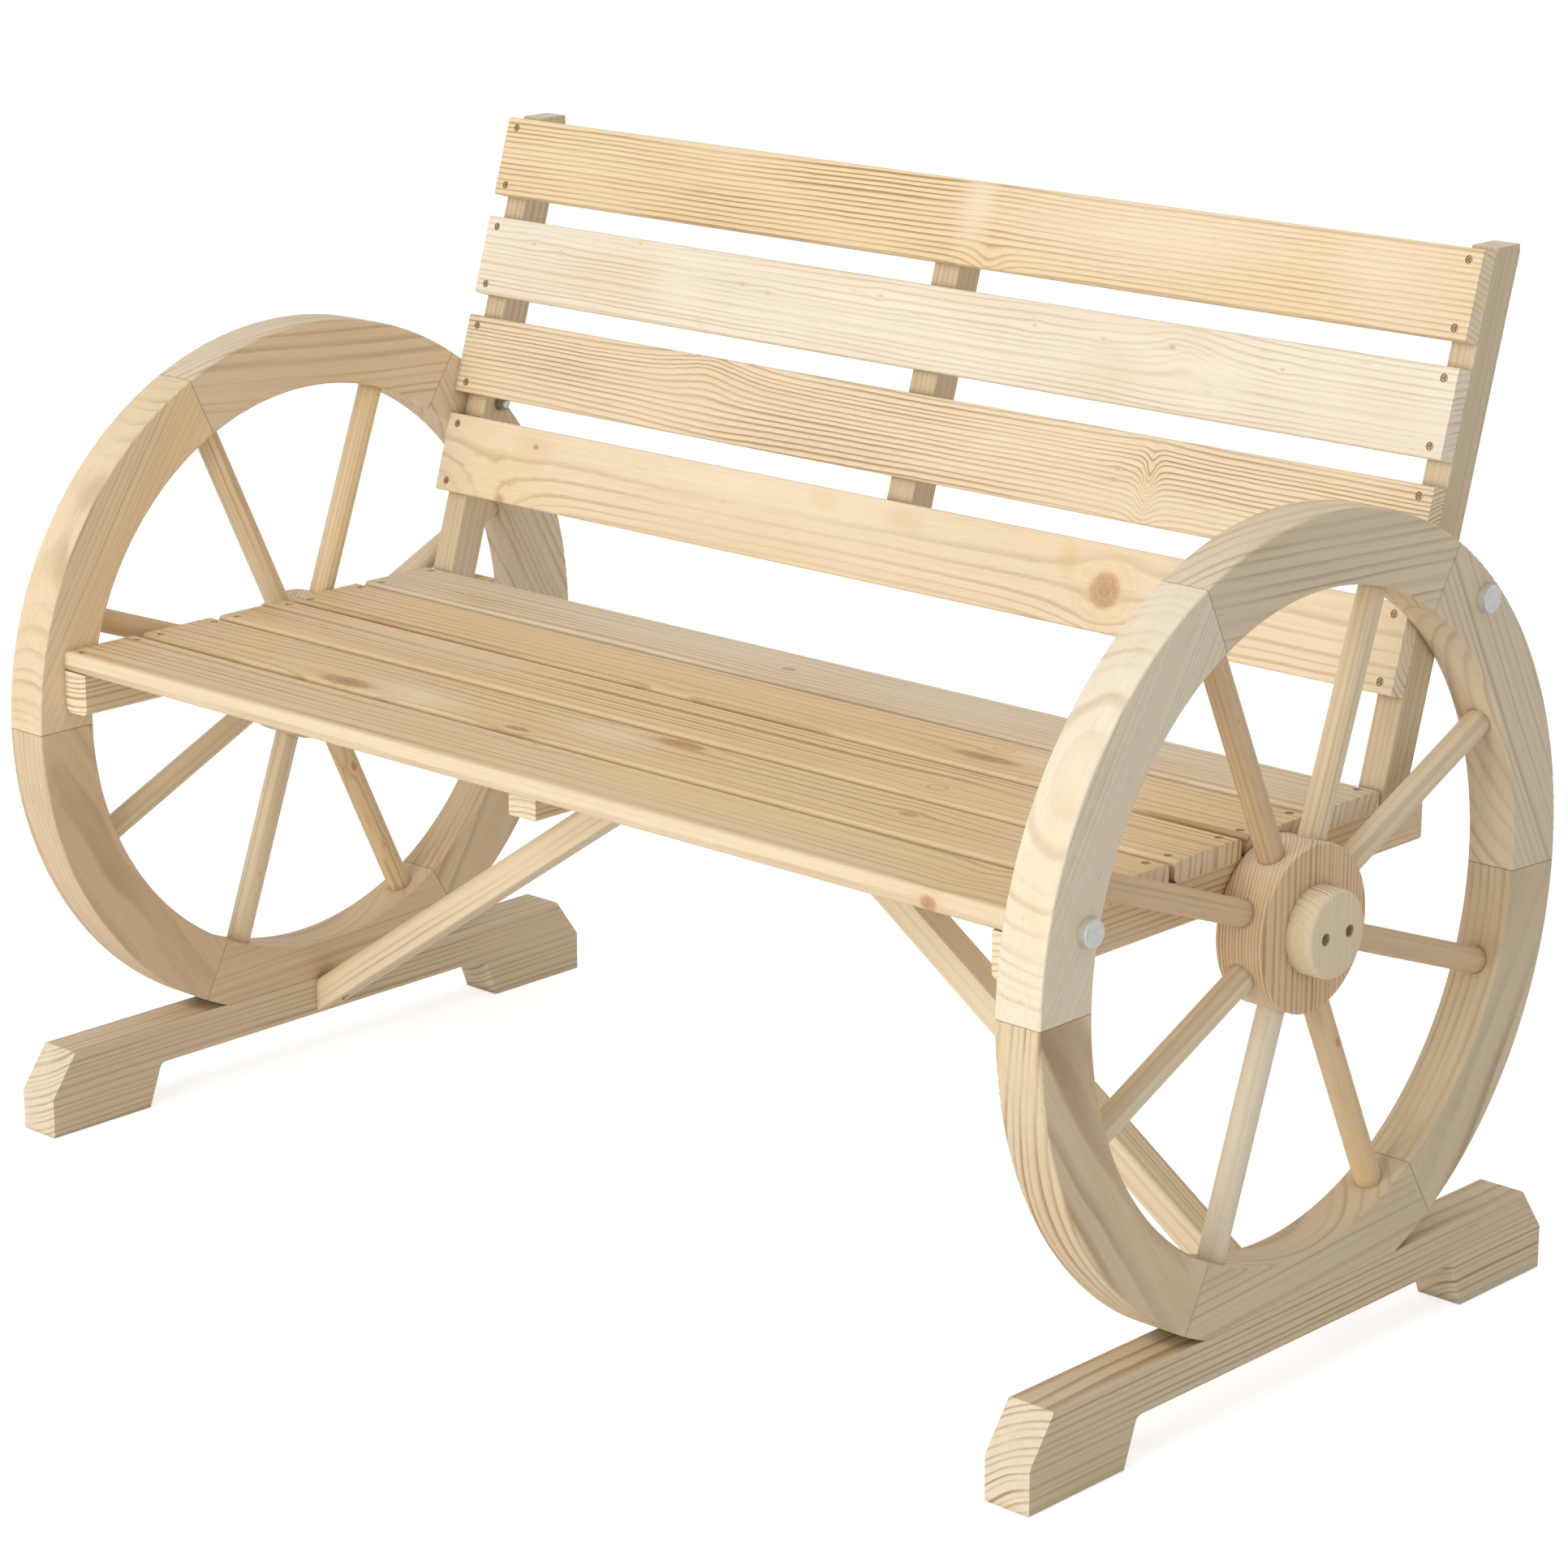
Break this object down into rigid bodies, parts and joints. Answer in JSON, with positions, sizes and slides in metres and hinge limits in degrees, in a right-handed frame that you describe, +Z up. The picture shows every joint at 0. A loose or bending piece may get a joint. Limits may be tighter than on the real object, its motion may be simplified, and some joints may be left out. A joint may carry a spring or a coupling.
{
  "type": "wagon wheel bench",
  "caption": "Slatted wooden garden bench with a tilted slat back, its two ends made of fixed spoked wagon wheels standing on braced skids.",
  "frame": {"origin": "on the floor, under the middle of the seat and the wheels' axis", "axes": "+X along the seat to the sitter's left, +Y from the front to the back, +Z up"},
  "size_m": [1.1, 0.588, 0.7689],
  "materials": {
    "fir": "planed and sanded natural fir, unvarnished",
    "dowel_wood": "smooth hardwood dowel",
    "zinc_steel": "bright zinc plate"
  },
  "bodies": {
    "root": {"back_screws": "zinc_steel", "back_slat_1": "fir", "back_slat_2": "fir", "back_slat_3": "fir", "back_slat_4": "fir", "bolt_nuts": "zinc_steel", "bolt_washers": "zinc_steel", "centre_bearer": "fir", "centre_screws": "zinc_steel", "felloe_dowels": "dowel_wood", "frame_screws": "zinc_steel", "hub_cap_screws": "zinc_steel", "left_bearer": "fir", "left_brace": "fir", "left_felloe_back_high": "fir", "left_felloe_back_low": "fir", "left_felloe_bottom": "fir", "left_felloe_front_high": "fir", "left_felloe_front_low": "fir", "left_felloe_top": "fir", "left_hub": "fir", "left_hub_cap": "fir", "left_post": "fir", "left_skid": "fir", "left_spoke_1": "fir", "left_spoke_2": "fir", "left_spoke_3": "fir", "left_spoke_4": "fir", "left_spoke_5": "fir", "left_spoke_6": "fir", "left_spoke_7": "fir", "left_spoke_8": "fir", "middle_batten": "fir", "right_bearer": "fir", "right_brace": "fir", "right_felloe_back_high": "fir", "right_felloe_back_low": "fir", "right_felloe_bottom": "fir", "right_felloe_front_high": "fir", "right_felloe_front_low": "fir", "right_felloe_top": "fir", "right_hub": "fir", "right_hub_cap": "fir", "right_post": "fir", "right_skid": "fir", "right_spoke_1": "fir", "right_spoke_2": "fir", "right_spoke_3": "fir", "right_spoke_4": "fir", "right_spoke_5": "fir", "right_spoke_6": "fir", "right_spoke_7": "fir", "right_spoke_8": "fir", "rim_bolts": "zinc_steel", "seat_screws": "zinc_steel", "seat_slat_1": "fir", "seat_slat_2": "fir", "seat_slat_3": "fir", "seat_slat_4": "fir", "seat_slat_5": "fir"}
  },
  "joints": []
}
